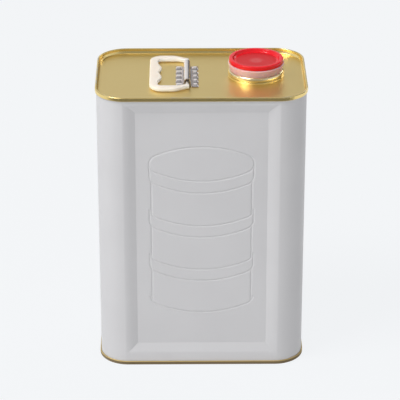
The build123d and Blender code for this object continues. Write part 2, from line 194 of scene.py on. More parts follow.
wrapper = copy_from_frame("body_wrapper", "enamelled_wrapper")
for x in steps_between(-panel_half_width, panel_half_width, panel_rule):
    select_faces(wrapper, on_panel_floor)
    bpy.ops.mesh.bisect(plane_co=(x, 0, 0), plane_no=(1, 0, 0))
for z in steps_between(panel_bottom, panel_top, panel_rule):
    select_faces(wrapper, on_panel_floor)
    bpy.ops.mesh.bisect(plane_co=(0, 0, z), plane_no=(0, 0, 1))
bpy.ops.object.mode_set(mode="OBJECT")
for vertex in wrapper.data.vertices:
    side = math.copysign(1, vertex.co.y)
    vertex.co.y += side * panel_rise(vertex.co.x, vertex.co.z)
round_edges(wrapper, pressed_edge_round, 2, pressed_edge_angle)
smooth_faces(wrapper, pressing_smooth_angle)


def group_of(name, inputs, outputs):
    """A shader node group with float inputs, and its two end nodes."""
    group = bpy.data.node_groups.new(name, "ShaderNodeTree")
    for label, default in inputs:
        socket = group.interface.new_socket(name=label, in_out="INPUT", socket_type="NodeSocketFloat")
        socket.default_value = default
    for label in outputs:
        group.interface.new_socket(name=label, in_out="OUTPUT", socket_type="NodeSocketFloat")
    start = group.nodes.new("NodeGroupInput")
    end = group.nodes.new("NodeGroupOutput")
    return group, start, end


def ranged(tree, value, low, high, out_low, out_high):
    """Map a value from one range to another, clamped."""
    limits = [(0, value), (1, low), (2, high), (3, out_low), (4, out_high)]
    return add_node(tree, "ShaderNodeMapRange", limits).outputs[0]


def combined(tree, operation, first, second):
    """One sum of two values, such as a product or a maximum."""
    return add_node(tree, "ShaderNodeMath", [(0, first), (1, second)], operation=operation).outputs[0]


def blended(tree, factor, first, second):
    """Mix two colours by a factor."""
    sockets = [(0, factor), (6, first), (7, second)]
    return add_node(tree, "ShaderNodeMix", sockets, data_type="RGBA").outputs[2]


def noise(tree, place, scale, detail):
    """Soft noise between about 0.3 and 0.7."""
    sockets = [("Vector", place), ("Scale", scale), ("Detail", detail)]
    return add_node(tree, "ShaderNodeTexNoise", sockets).outputs[0]


def object_place(tree):
    """Object coordinates, which here are the tin's own metres."""
    return add_node(tree, "ShaderNodeTexCoord").outputs["Object"]


# Handling marks: faint smudges, on every metal finish.
handling, start, end = group_of("Handling Marks", [("Smudge Scale", 40.0)], ["Smudge"])
smudge = noise(handling, object_place(handling), start.outputs[0], 4.0)
handling.links.new(ranged(handling, smudge, 0.35, 0.7, 0.0, 1.0), end.inputs[0])


def use_group(tree, group, values=()):
    """Place a node group in a material with its own values."""
    node = add_node(tree, "ShaderNodeGroup", node_tree=group)
    for label, value in values:
        node.inputs[label].default_value = value
    return node


def bumped(tree, height, distance, strength=1.0, normal=None):
    """A bump normal from a height between 0 and 1."""
    sockets = [("Height", height), ("Distance", distance), ("Strength", strength)]
    if normal:
        sockets.append(("Normal", normal))
    return add_node(tree, "ShaderNodeBump", sockets).outputs[0]


def shaded(tree, surface, sockets):
    """End a material in a Principled shader."""
    shader = add_node(tree, "ShaderNodeBsdfPrincipled", sockets)
    tree.links.new(shader.outputs[0], surface)


weld_margin = 3.2 * mm
weld_margin_blur = 0.2 * mm
weld_half_width = 0.75 * mm
weld_burn_blur = 0.5 * mm
weld_ragged = 0.5 * mm
side_wall = 83.0 * mm
weld_grey = (0.42, 0.405, 0.39, 1)
weld_burnt = (0.16, 0.15, 0.145, 1)


def make_enamel():
    """White stoved enamel with faint roller waves, left off along the side weld."""
    material, tree, surface = new_material("white enamel")
    place = object_place(tree)
    marks = use_group(tree, handling, [("Smudge Scale", 22.0)])
    tint = ranged(tree, marks.outputs["Smudge"], 0, 1, 0, 0.5)
    colour = blended(tree, tint, enamel_white, enamel_shade)
    rough = ranged(tree, marks.outputs["Smudge"], 0, 1, 0.34, 0.42)
    waves = noise(tree, place, 26.0, 1.0)
    peel = noise(tree, place, 900.0, 2.0)
    normal = bumped(tree, waves, 0.35 * mm, 0.5)
    normal = bumped(tree, peel, 0.012 * mm, 0.5, normal)

    axes = add_node(tree, "ShaderNodeSeparateXYZ", [(0, place)]).outputs
    off_middle = combined(tree, "ABSOLUTE", axes["Y"], 0.0)
    ragged = combined(tree, "MULTIPLY", noise(tree, place, 700.0, 3.0), weld_ragged)
    off_middle = combined(tree, "ADD", off_middle, ragged)
    on_side = ranged(tree, axes["X"], side_wall, side_wall + 0.4 * mm, 0.0, 1.0)
    bare = ranged(tree, off_middle, weld_margin, weld_margin + weld_margin_blur, 1.0, 0.0)
    bare = combined(tree, "MULTIPLY", bare, on_side)
    burnt = ranged(tree, off_middle, weld_half_width, weld_half_width + weld_burn_blur, 1.0, 0.0)
    steel = blended(tree, burnt, weld_grey, weld_burnt)
    shaded(tree, surface, [
        ("Base Color", blended(tree, bare, colour, steel)),
        ("Metallic", bare),
        ("Roughness", rough),
        ("Normal", normal),
        ("Specular IOR Level", 0.4),
        ("Coat Weight", 0.08),
        ("Coat Roughness", 0.22),
    ])
    return material


def dress(piece, material):
    """Give a piece one material in all its slots."""
    piece.data.materials.clear()
    piece.data.materials.append(material)


white_enamel = make_enamel()
dress(wrapper, white_enamel)
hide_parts("body_wrapper")
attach(wrapper, "tin")

# The two ends are blanked from gold-lacquered tinplate, drawn and countersunk, and
# folded on to the wrapper's flanges in a double seam. The top one's neck is curled.
lacquer_gold = (0.90, 0.70, 0.29, 1)
lacquer_amber = (0.87, 0.665, 0.265, 1)
lacquer_rubbed = (0.66, 0.60, 0.48, 1)
lacquer_dark_foot = (0.33, 0.27, 0.19, 1)
lacquer_painted_highlight = (0.93, 0.80, 0.50, 1)
seam_middle = 120.0 * mm
seam_crown = 119.82 * mm
dark_foot_height = 3.4 * mm
lid_matt = 0.12
lid = 236.0 * mm
spout_x = 44.6 * mm
spout_y = 5.2 * mm
curl_top = 5.1 * mm
curl_low = 2.5 * mm
curl_radius = 22.7 * mm
curl_bend = 0.85 * mm
curl_roll = 1.35 * mm
curl_rule = 0.2 * mm


def make_lacquer():
    """Gold lacquer on tinplate: rubbed on the seams' crowns, darker and matt at the foot, and painted
    pale on the neck's curl as a highlight.
    """
    material, tree, surface = new_material("gold lacquer")
    place = object_place(tree)
    marks = use_group(tree, handling, [("Smudge Scale", 30.0)])
    grain_run = add_node(tree, "ShaderNodeMapping", [("Vector", place), ("Scale", (8.0, 1.0, 1.0))])
    grain = noise(tree, grain_run.outputs[0], 160.0, 3.0)
    tint = ranged(tree, marks.outputs["Smudge"], 0, 1, 0.1, 0.75)
    colour = blended(tree, tint, lacquer_gold, lacquer_amber)
    height = add_node(tree, "ShaderNodeSeparateXYZ", [(0, place)]).outputs["Z"]
    from_middle = combined(tree, "ABSOLUTE", combined(tree, "SUBTRACT", height, seam_middle), 0.0)
    on_crown = ranged(tree, from_middle, seam_crown, seam_middle, 0.0, 1.0)
    patches = ranged(tree, noise(tree, place, 90.0, 5.0), 0.5, 0.62, 0.0, 0.8)
    worn = combined(tree, "MULTIPLY", on_crown, patches)
    colour = blended(tree, worn, colour, lacquer_rubbed)
    # The lowest part of the bottom seam is darker and matt.
    at_foot = ranged(tree, height, dark_foot_height, 0.7 * dark_foot_height, 0.0, 0.9)
    # The neck's curl is painted paler: a painted highlight.
    on_neck = ranged(tree, height, lid + 1.0 * mm, lid + curl_low, 0.0, 0.75)
    spout_foot = [(0, place), (1, (spout_x, spout_y, lid))]
    from_axis = add_node(tree, "ShaderNodeVectorMath", spout_foot, operation="DISTANCE").outputs["Value"]
    near_neck = ranged(tree, from_axis, curl_radius + 2 * mm, curl_radius + 3 * mm, 1.0, 0.0)
    colour = blended(tree, combined(tree, "MULTIPLY", on_neck, near_neck), colour, lacquer_painted_highlight)
    off_lid = combined(tree, "ABSOLUTE", combined(tree, "SUBTRACT", height, lid), 0.0)
    matt = combined(tree, "ADD", ranged(tree, off_lid, 0.1 * mm, 0.5 * mm, lid_matt, 0.0), at_foot)
    shaded(tree, surface, [
        ("Base Color", blended(tree, at_foot, colour, lacquer_dark_foot)),
        ("Metallic", 1.0),
        ("Roughness", combined(tree, "ADD", ranged(tree, grain, 0.3, 0.7, 0.24, 0.26), matt)),
        ("Normal", bumped(tree, grain, 0.002 * mm, 0.15)),
    ])
    return material


def off_spout(place):
    """Distance of a place from the spout's axis."""
    return math.hypot(place.x - spout_x, place.y - spout_y)


def on_curl(centre, normal):
    """Say whether a face lies in the outer wall of the neck's curl."""
    outside = off_spout(centre) > curl_radius - curl_bend
    return outside and lid + curl_low / 2 < centre.z < lid + curl_top


def curl_fall(height):
    """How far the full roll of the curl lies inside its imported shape, at a height over the lid."""
    above_bend = max(0, height - curl_top + curl_bend)
    packed = curl_radius - curl_bend + math.sqrt(max(0, curl_bend**2 - above_bend**2))
    share = min(1, max(0, (height - curl_low) / (curl_top - curl_low)))
    return packed - (curl_radius - curl_roll + curl_roll * math.sqrt(1 - share**2))


top_end = copy_from_frame("top_end", "lacquered_top_end")
for height in steps_between(curl_low, curl_top, curl_rule):
    select_faces(top_end, on_curl)
    bpy.ops.mesh.bisect(plane_co=(0, 0, lid + height), plane_no=(0, 0, 1))
bpy.ops.object.mode_set(mode="OBJECT")
curl_inside = curl_radius - curl_bend - 0.1 * mm
curl_outside = curl_radius + 1.0 * mm
for vertex in top_end.data.vertices:
    out = off_spout(vertex.co)
    if curl_inside < out < curl_outside and vertex.co.z > lid + curl_low:
        shrink = 1 - curl_fall(vertex.co.z - lid) / out
        vertex.co.x = spout_x + (vertex.co.x - spout_x) * shrink
        vertex.co.y = spout_y + (vertex.co.y - spout_y) * shrink
smooth_faces(top_end, pressing_smooth_angle)
gold_lacquer = make_lacquer()
dress(top_end, gold_lacquer)
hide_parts("top_end")
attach(top_end, "tin")
dress(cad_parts["bottom_end"], gold_lacquer)

# Sealing compound is a rubber dispersion dried in the curl of each end. It is
# squeezed into the seam when the end is folded on, and nothing of it shows.
compound_grey = (0.42, 0.40, 0.36, 1)
compound_dark = (0.33, 0.31, 0.28, 1)


def make_compound():
    """Matt grey rubber with a slightly uneven dried skin."""
    material, tree, surface = new_material("seam compound")
    skin = noise(tree, object_place(tree), 400.0, 3.0)
    shaded(tree, surface, [
        ("Base Color", blended(tree, skin, compound_grey, compound_dark)),
        ("Roughness", 0.85),
        ("Normal", bumped(tree, skin, 0.05 * mm, 0.6)),
    ])
    return material


seam_compound = make_compound()
for node in ("top_seam_compound", "bottom_seam_compound"):
    dress(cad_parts[node], seam_compound)

# The handle clip is a strap of bare tinplate, formed with a loop for the handle's
# pegs and five ribs on each foot, and spot-welded to the lid between the ribs.
clip_x = -11.35 * mm
clip_gauge = 0.5 * mm
clip_half_width = 9.15 * mm
clip_length = 45.5 * mm
loop_half_width = 2.55 * mm
loop_centre = 4.2 * mm
loop_length = 41.4 * mm
root_bend = 1.2 * mm
rib_count = 5
rib_half_width = 2.35 * mm
rib_half_length = 4.4 * mm
rib_height = 1.15 * mm
rib_lean = 0.28
rib_mesh = 0.6 * mm
foot_overlap = 0.01 * mm
clip_edge_round = 0.1 * mm
clip_sharp_angle = math.radians(60)
clip_smooth_angle = math.radians(40)
tin_painted_highlight = (0.93, 0.86, 0.83, 1)
tin_painted_shade = (0.58, 0.53, 0.52, 1)
tin_highlight_height = 1.6 * mm


def start_line(name, place):
    """Begin a piece as one selected vertex, in edit mode."""
    clear_selection()
    bpy.ops.mesh.primitive_plane_add(size=mm, location=place)
    piece = bpy.context.object
    piece.name = name
    bpy.ops.object.transform_apply(location=True, rotation=True, scale=True)
    bpy.ops.object.mode_set(mode="EDIT")
    bpy.ops.mesh.select_mode(type="VERT")
    bpy.ops.mesh.select_all(action="SELECT")
    bpy.ops.mesh.merge(type="CENTER")
    return piece


def draw_by(*steps):
    """Draw on from the selected vertex, one straight step after another."""
    for step in steps:
        bpy.ops.mesh.extrude_vertices_move(TRANSFORM_OT_translate={"value": step})


def select_edges(piece, wanted):
    """Select only the edges whose two ends wanted says yes to."""
    bpy.ops.mesh.select_mode(type="EDGE")
    bpy.ops.mesh.select_all(action="DESELECT")
    bpy.ops.object.mode_set(mode="OBJECT")
    places = [vertex.co for vertex in piece.data.vertices]
    for edge in piece.data.edges:
        edge.select = all(wanted(places[i]) for i in edge.vertices)
    bpy.ops.object.mode_set(mode="EDIT")


def solid_normals(piece):
    """Merge doubles, point the faces outwards and leave edit mode."""
    bpy.ops.mesh.select_mode(type="VERT")
    bpy.ops.mesh.select_all(action="SELECT")
    bpy.ops.mesh.remove_doubles(threshold=merge_distance)
    bpy.ops.mesh.normals_make_consistent(inside=False)
    bpy.ops.object.mode_set(mode="OBJECT")


def make_tinplate():
    """Bare tinplate, painted darker low down as shade and lighter on its high places, the rib crests and
    the loop, as a painted highlight.
    """
    material, tree, surface = new_material("bare tinplate")
    place = object_place(tree)
    marks = use_group(tree, handling, [("Smudge Scale", 180.0)])
    height = add_node(tree, "ShaderNodeSeparateXYZ", [(0, place)]).outputs["Z"]
    # Painted light: low places get a painted shade, high places a painted highlight.
    painted_light_by_height = ranged(tree, height, lid + clip_gauge, lid + tin_highlight_height, 0.0, 1.0)
    shaded(tree, surface, [
        ("Base Color", blended(tree, painted_light_by_height, tin_painted_shade, tin_painted_highlight)),
        ("Metallic", 1.0),
        ("Roughness", ranged(tree, marks.outputs["Smudge"], 0, 1, 0.16, 0.26)),
        ("Normal", bumped(tree, noise(tree, place, 700.0, 2.0), 0.01 * mm, 0.4)),
    ])
    return material


half_gauge = clip_gauge / 2
flat_end = loop_half_width + root_bend
rise = loop_centre - root_bend - half_gauge
foot_run = clip_half_width - flat_end
near_end = -loop_length / 2
clip = start_line("pressed_clip", (clip_x - clip_half_width, near_end, lid + half_gauge))
draw_by((foot_run, 0, 0))
root_z = lid + half_gauge + root_bend
quarter = math.radians(90)
left_root = (clip_x - flat_end, near_end, root_z)
right_root = (clip_x + flat_end, near_end, root_z)
loop_axis = (clip_x, near_end, lid + loop_centre)
bpy.ops.mesh.spin(steps=5, angle=quarter, center=left_root, axis=(0, 1, 0))
draw_by((0, 0, rise))
bpy.ops.mesh.spin(steps=18, angle=-2 * quarter, center=loop_axis, axis=(0, 1, 0))
draw_by((0, 0, -rise))
bpy.ops.mesh.spin(steps=5, angle=quarter, center=right_root, axis=(0, 1, 0))
draw_by((foot_run, 0, 0))
bpy.ops.mesh.select_all(action="SELECT")
bpy.ops.mesh.extrude_region_move(TRANSFORM_OT_translate={"value": (0, loop_length, 0)})
foot_rest = (clip_length - loop_length) / 2
foot_start = flat_end - foot_overlap
foot_end = loop_length / 2 - foot_overlap
for side in (-1, 1):
    for way in (-1, 1):
        select_edges(clip, lambda at: side * (at.x - clip_x) > foot_start and way * at.y > foot_end)
        bpy.ops.mesh.extrude_region_move(TRANSFORM_OT_translate={"value": (0, way * foot_rest, 0)})


def on_foot(centre, normal):
    """Say whether a face lies in one of the clip's flat feet."""
    return abs(centre.x - clip_x) > flat_end


for y in steps_between(-clip_length / 2, clip_length / 2, rib_mesh):
    select_faces(clip, on_foot)
    bpy.ops.mesh.bisect(plane_co=(0, y, 0), plane_no=(0, 1, 0))
for side in (-1, 1):
    for x in steps_between(flat_end, clip_half_width, rib_mesh):
        select_faces(clip, on_foot)
        bpy.ops.mesh.bisect(plane_co=(clip_x + side * x, 0, 0), plane_no=(1, 0, 0))
bpy.ops.object.mode_set(mode="OBJECT")
rib_pitch = clip_length / rib_count
rib_middle = clip_half_width - (clip_half_width - flat_end - half_gauge) / 2
for vertex in clip.data.vertices:
    across = (abs(vertex.co.x - clip_x) - rib_middle) / rib_half_width
    turn = (vertex.co.y / rib_pitch + rib_count / 2) % 1 - 0.5
    along = turn * rib_pitch / rib_half_length
    if abs(across) < 1 and abs(along) < 1:
        along = (along + rib_lean) / (1 + math.copysign(rib_lean, along + rib_lean))
        vertex.co.z += rib_height * (1 - across**6) * (1 - along**2)
bpy.ops.object.mode_set(mode="EDIT")
solid_normals(clip)
wall = clip.modifiers.new("gauge", "SOLIDIFY")
wall.thickness = clip_gauge
wall.offset = 0
wall.use_even_offset = True
bpy.ops.object.modifier_apply(modifier=wall.name)
round_edges(clip, clip_edge_round, 2, clip_sharp_angle)
smooth_faces(clip, clip_smooth_angle)
bare_tinplate = make_tinplate()
dress(clip, bare_tinplate)
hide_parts("handle_clip")
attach(clip, "tin")

# The carrying handle is one moulding of white polypropylene, a flat C with two
# finger bumps inside its bar and a peg on each arm that turns in the clip's loop.
hinge_z = 238.225 * mm
handle_slide = 2.5 * mm
handle_thickness = 3.25 * mm
handle_edge_round = 0.8 * mm
# Corners of the outline in millimetres: reach from the hinge, place to the side, rounding.
handle_outside = [(-1.7, 29.75, 0.9), (0, 29.75, 2.0), (10.0, 35.65, 7.0), (30.25, 35.65, 10.5)]
handle_inside = [
    (-1.7, 26.2, 0.9),
    (0, 26.2, 2.0),
    (7.0, 29.1, 7.0),
    (23.75, 29.1, 4.0),
    (23.75, 20.5, 4.0),
    (20.35, 9.8, 5.0),
]
handle_notch = (23.15, 0, 5.0)
peg_radius = 1.2 * mm
peg_length = 14.0 * mm
peg_middle = 19.8 * mm
peg_edge_round = 0.4 * mm
moulding_edge_angle = math.radians(50)
moulding_smooth_angle = math.radians(35)
handle_white = (0.99, 0.93, 0.90, 1)
handle_cream = (0.94, 0.77, 0.65, 1)
handle_top = hinge_z + handle_thickness / 2

moulded, start, end = group_of("Moulded Skin", [("Grain Scale", 900.0)], ["Tone", "Grain"])
place = object_place(moulded)
moulded.links.new(ranged(moulded, noise(moulded, place, 60.0, 2.0), 0.3, 0.7, 0.0, 1.0), end.inputs[0])
moulded.links.new(noise(moulded, place, start.outputs[0], 2.0), end.inputs[1])


def make_handle_plastic():
    """White polypropylene with a fine mould grain, its sides painted whiter than its top as painted
    light.
    """
    material, tree, surface = new_material("white plastic")
    skin = use_group(tree, moulded)
    height = add_node(tree, "ShaderNodeSeparateXYZ", [(0, object_place(tree))]).outputs["Z"]
    # The sides are painted whiter than the top, as painted light on the sides; a little random tone is
    # mixed in.
    upper = ranged(tree, height, handle_top - 0.9 * mm, handle_top - 0.1 * mm, 0.0, 0.9)
    tone = combined(tree, "MULTIPLY", skin.outputs["Tone"], 0.1)
    painted_side_light_and_tone = combined(tree, "ADD", upper, tone)
    shaded(tree, surface, [
        ("Base Color", blended(tree, painted_side_light_and_tone, handle_white, handle_cream)),
        ("Roughness", ranged(tree, skin.outputs["Grain"], 0.3, 0.7, 0.36, 0.44)),
        ("Normal", bumped(tree, skin.outputs["Grain"], 0.015 * mm, 0.5)),
        ("Subsurface Weight", 1.0),
        ("Subsurface Scale", 0.005),
        ("Subsurface Radius", (1.0, 0.95, 0.9)),
    ])
    return material


def round_corner(piece, corner, radius, turn):
    """Round one corner of a flat outline."""
    bpy.ops.mesh.select_mode(type="VERT")
    bpy.ops.mesh.select_all(action="DESELECT")
    bpy.ops.object.mode_set(mode="OBJECT")
    nearest = min(piece.data.vertices, key=lambda vertex: (vertex.co - corner).length)
    nearest.select = True
    bpy.ops.object.mode_set(mode="EDIT")
    steps = max(3, round(math.degrees(turn) / 8))
    bpy.ops.mesh.bevel(offset=radius * math.tan(turn / 2), segments=steps, affect="VERTICES")


far_side = [(u, -y, bend) for u, y, bend in handle_outside[::-1] + handle_inside]
outline = handle_outside + far_side + [handle_notch] + handle_inside[::-1]
bends = [bend * mm for u, y, bend in outline]
under = hinge_z - handle_thickness / 2
corners = [Vector((clip_x - u * mm, y * mm + handle_slide, under)) for u, y, bend in outline]
handle = start_line("carrying_handle", corners[0])
draw_by(*[after - before for before, after in zip(corners, corners[1:])])
bpy.ops.mesh.select_all(action="SELECT")
bpy.ops.mesh.edge_face_add()
for i, corner in enumerate(corners):
    before = corner - corners[i - 1]
    after = corners[(i + 1) % len(corners)] - corner
    round_corner(handle, corner, bends[i], before.angle(after))
bpy.ops.mesh.select_all(action="SELECT")
bpy.ops.mesh.extrude_region_move(TRANSFORM_OT_translate={"value": (0, 0, handle_thickness)})
solid_normals(handle)
round_edges(handle, handle_edge_round, 4, moulding_edge_angle)
for side in (-1, 1):
    clear_selection()
    bpy.ops.mesh.primitive_cylinder_add(
        vertices=32,
        radius=peg_radius,
        depth=peg_length,
        location=(clip_x, side * peg_middle + handle_slide, hinge_z),
        rotation=(quarter, 0, 0),
    )
    peg = bpy.context.object
    bpy.ops.object.transform_apply(location=True, rotation=True, scale=True)
    round_edges(peg, peg_edge_round, 3, moulding_edge_angle)
    handle.select_set(True)
    bpy.context.view_layer.objects.active = handle
    bpy.ops.object.join()
smooth_faces(handle, moulding_smooth_angle)
white_plastic = make_handle_plastic()
dress(handle, white_plastic)
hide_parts("carry_handle")
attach(handle, "handle")

# The spout collar is the root of the spout's polythene moulding. Its plug and bead
# snap into the tin's neck, and its flange stands on the neck's curl.
turned_sides = 128
collar_profile = [
    (19.0, -2.6, 0.2),
    (20.35, -2.6, 0.3),
    (20.35, -1.6, 0),
    (21.25, -0.65, 0.2),
    (21.25, 0.4, 0.2),
    (20.35, 0.75, 0),
    (20.35, 5.1, 0),
    (21.4, 5.1, 0.35),
    (22.3, 9.9, 0),
    (22.6, 9.9, 0.2),
    (22.6, 11.1, 0.35),
    (18.2, 11.1, 0.2),
    (18.2, 9.9, 0),
    (21.0, 9.9, 0.2),
    (20.1, 6.4, 0.3),
    (19.0, 5.1, 0.2),
]
polythene_painted_pink_glow = (0.96, 0.59, 0.62, 1)
polythene_painted_shade = (0.63, 0.365, 0.42, 1)


def turned_piece(name, profile, closed):
    """Turn a profile of (radius, height, rounding) about the spout's axis, heights from the lid."""
    clear_selection()
    radius, height, rounding = profile[0]
    bpy.ops.mesh.primitive_circle_add(
        vertices=turned_sides, radius=radius * mm, location=(spout_x, spout_y, lid + height * mm)
    )
    piece = bpy.context.object
    piece.name = name
    bpy.ops.object.transform_apply(location=True, rotation=True, scale=True)
    bpy.ops.object.mode_set(mode="EDIT")
    bpy.ops.mesh.select_mode(type="VERT")
    bpy.ops.mesh.select_all(action="SELECT")
    if not closed:
        bpy.ops.mesh.extrude_region_move()
        bpy.ops.mesh.select_all(action="INVERT")
        bpy.ops.mesh.edge_face_add()
        bpy.ops.mesh.select_all(action="INVERT")
    stations = profile[1:] + profile[:1] if closed else profile[1:]
    for next_radius, next_height, rounding in stations:
        step = (0, 0, (next_height - height) * mm)
        bpy.ops.mesh.extrude_region_move(TRANSFORM_OT_translate={"value": step})
        grow = next_radius / radius
        centre = (spout_x, spout_y, lid + next_height * mm)
        bpy.ops.transform.resize(value=(grow, grow, 1), center_override=centre)
        radius, height = next_radius, next_height
    if not closed:
        bpy.ops.mesh.edge_face_add()
    solid_normals(piece)
    bpy.ops.object.mode_set(mode="EDIT")
    for ring_radius, ring_height, rounding in profile:
        if rounding:
            round_ring(piece, ring_radius * mm, lid + ring_height * mm, rounding * mm)
    bpy.ops.object.mode_set(mode="OBJECT")
    return piece


def round_ring(piece, radius, height, width):
    """Round one turned edge of a piece."""
    def on_ring(at):
        out = math.hypot(at.x - spout_x, at.y - spout_y)
        return abs(at.z - height) < 0.02 * mm and abs(out - radius) < 0.02 * mm

    select_edges(piece, on_ring)
    bpy.ops.mesh.bevel(offset=width, segments=3, affect="EDGES")


collar = turned_piece("spout_root_collar", collar_profile, True)
smooth_faces(collar, moulding_smooth_angle)


def make_polythene():
    """Natural polythene, painted pink as the red cap's glow through it, palest at the flange and painted
    darker towards the foot as shade.
    """
    material, tree, surface = new_material("natural polythene")
    skin = use_group(tree, moulded)
    place = object_place(tree)
    height = add_node(tree, "ShaderNodeSeparateXYZ", [(0, place)]).outputs["Z"]
    tone = combined(tree, "MULTIPLY", skin.outputs["Tone"], 0.2)
    # Painted light: a painted pink glow, palest high up and painted darker lower down as shade, with a
    # little random tone.
    painted_glow_shade_and_tone = combined(tree, "ADD", ranged(tree, height, lid + 4 * mm, lid + 11 * mm, 0.0, 0.9), tone)
    shaded(tree, surface, [
        ("Base Color", blended(tree, painted_glow_shade_and_tone, polythene_painted_shade, polythene_painted_pink_glow)),
        ("Roughness", ranged(tree, skin.outputs["Grain"], 0.3, 0.7, 0.2, 0.28)),
        ("Normal", bumped(tree, skin.outputs["Grain"], 0.015 * mm, 0.5)),
        ("Subsurface Weight", 0.5),
        ("Subsurface Scale", 0.003),
        ("Transmission Weight", 0.1),
    ])
    return material


natural_polythene = make_polythene()
dress(collar, natural_polythene)
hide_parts("spout_collar")
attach(collar, "tin")

# The cone joins the collar to the nozzle. It is thin enough to turn inside out, and lies folded down
# inside the collar until the nozzle is pulled up.
# Here it is one fixed shape that does not follow the nozzle.
cone_foot = -5.1
cone_mouth = 9.9
cone_steps = 15
cone_foot_radius = 15.0
cone_flare = 3.2
cone_wall = 0.6
cone_out = []
cone_in = []
for i in range(cone_steps + 1):
    share = i / cone_steps
    cone_height = cone_foot + (cone_mouth - cone_foot) * share
    cone_radius = cone_foot_radius + cone_flare * share
    cone_out.append((cone_radius + cone_wall, cone_height, 0))
    cone_in.append((cone_radius, cone_height, 0))
cone = turned_piece("folding_cone", cone_out + cone_in[::-1], True)
smooth_faces(cone, moulding_smooth_angle)
dress(cone, natural_polythene)
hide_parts("spout_cone")
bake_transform(cone)

# The nozzle is the stiff end of the same moulding, with a foot flange, a rounded
# pouring lip and a coarse screw thread for the cap.
nozzle_profile = [
    (12.1, -6.3, 0.2),
    (15.6, -6.3, 0.25),
    (15.6, -5.1, 0.25),
    (13.5, -5.1, 0.3),
    (13.5, 10.4, 0.4),
    (12.1, 10.4, 0.4),
]
thread_pitch = 3.0 * mm
thread_turns = 1.5
thread_steps = 96
thread_base = 1.1 * mm
thread_taper = 0.45
nozzle_thread_start = 4.0
nozzle_thread_root = 13.45 * mm
nozzle_thread_crest = 14.0 * mm


def screw_thread(name, height, root, crest):
    """A trapezoid ridge that climbs about the spout's axis, from its root to its crest radius."""
    clear_selection()
    bpy.ops.mesh.primitive_plane_add(
        size=1, location=(spout_x, spout_y, lid + height * mm), rotation=(quarter, 0, 0)
    )
    ridge = bpy.context.object
    ridge.name = name
    bpy.ops.object.transform_apply(location=False, rotation=True, scale=True)
    bpy.ops.object.mode_set(mode="EDIT")
    bpy.ops.mesh.select_mode(type="EDGE")
    bpy.ops.mesh.select_all(action="SELECT")
    axis_place = (spout_x, spout_y, lid + height * mm)
    bpy.ops.transform.resize(value=(abs(crest - root), 1, thread_base), center_override=axis_place)
    bpy.ops.transform.translate(value=((root + crest) / 2, 0, 0))
    select_edges(ridge, lambda at: abs(at.x - crest) < 0.01 * mm)
    bpy.ops.transform.resize(value=(1, 1, thread_taper), center_override=axis_place)
    bpy.ops.object.mode_set(mode="OBJECT")
    climb = ridge.modifiers.new("thread", "SCREW")
    climb.angle = math.tau * thread_turns
    climb.screw_offset = thread_pitch * thread_turns
    climb.steps = thread_steps
    climb.render_steps = thread_steps
    bpy.ops.object.modifier_apply(modifier=climb.name)
    bpy.ops.object.transform_apply(location=True, rotation=True, scale=True)
    bpy.ops.object.mode_set(mode="EDIT")
    bpy.ops.mesh.select_mode(type="EDGE")
    bpy.ops.mesh.select_all(action="SELECT")
    bpy.ops.mesh.fill_holes(sides=4)
    solid_normals(ridge)
    return ridge


def join_to(piece, extra):
    """Make extra part of a piece's mesh."""
    clear_selection()
    extra.select_set(True)
    piece.select_set(True)
    bpy.context.view_layer.objects.active = piece
    bpy.ops.object.join()


nozzle = turned_piece("pouring_nozzle", nozzle_profile, True)
nozzle_thread = screw_thread(
    "nozzle_thread", nozzle_thread_start, nozzle_thread_root, nozzle_thread_crest
)
join_to(nozzle, nozzle_thread)
smooth_faces(nozzle, moulding_smooth_angle)
dress(nozzle, natural_polythene)
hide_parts("spout_nozzle")
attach(nozzle, "spout")

# The tear-out seal closes the nozzle until first use: a disc with a thinned ring
# round its edge, and a post that carries a pull ring for one finger.
seal_profile = [
    (12.05, 2.0, 0.1),
    (12.05, 2.7, 0.1),
    (11.3, 2.7, 0),
    (11.1, 2.35, 0),
    (10.9, 2.7, 0),
    (1.0, 2.7, 0),
]
pull_ring_radius = 7.0 * mm
pull_ring_wire = 0.95 * mm
pull_ring_z = lid + 6.3 * mm
pull_ring_flat = 0.7
post_radius = 1.05 * mm
post_height = 3.3 * mm
post_foot = 0.3 * mm
post_foot_flare = 1.5
post_place = (spout_x - pull_ring_radius, spout_y, lid + 4.2 * mm)
seal = turned_piece("tear_out_seal", seal_profile, False)
clear_selection()
bpy.ops.mesh.primitive_torus_add(
    location=(spout_x, spout_y, pull_ring_z),
    major_radius=pull_ring_radius,
    minor_radius=pull_ring_wire,
    major_segments=72,
    minor_segments=16,
)
pull_ring = bpy.context.object
bpy.ops.object.transform_apply(location=True, rotation=True, scale=True)
bpy.ops.object.mode_set(mode="EDIT")
bpy.ops.mesh.select_mode(type="VERT")
select_faces(pull_ring, lambda centre, normal: centre.z > pull_ring_z)
bpy.ops.transform.resize(value=(1, 1, pull_ring_flat), center_override=(spout_x, spout_y, pull_ring_z))
bpy.ops.object.mode_set(mode="OBJECT")
join_to(seal, pull_ring)
clear_selection()
bpy.ops.mesh.primitive_cylinder_add(
    vertices=24, radius=post_radius, depth=post_height, location=post_place
)
post = bpy.context.object
bpy.ops.object.transform_apply(location=True, rotation=True, scale=True)
bpy.ops.object.mode_set(mode="EDIT")
select_faces(post, lambda centre, normal: normal.z < -0.5)
bpy.ops.mesh.extrude_region_move(TRANSFORM_OT_translate={"value": (0, 0, -post_foot)})
bpy.ops.transform.resize(value=(post_foot_flare, post_foot_flare, 1), center_override=post_place)
bpy.ops.object.mode_set(mode="OBJECT")
join_to(seal, post)
smooth_faces(seal, moulding_smooth_angle)
dress(seal, natural_polythene)
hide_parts("nozzle_seal")
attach(seal, "spout")

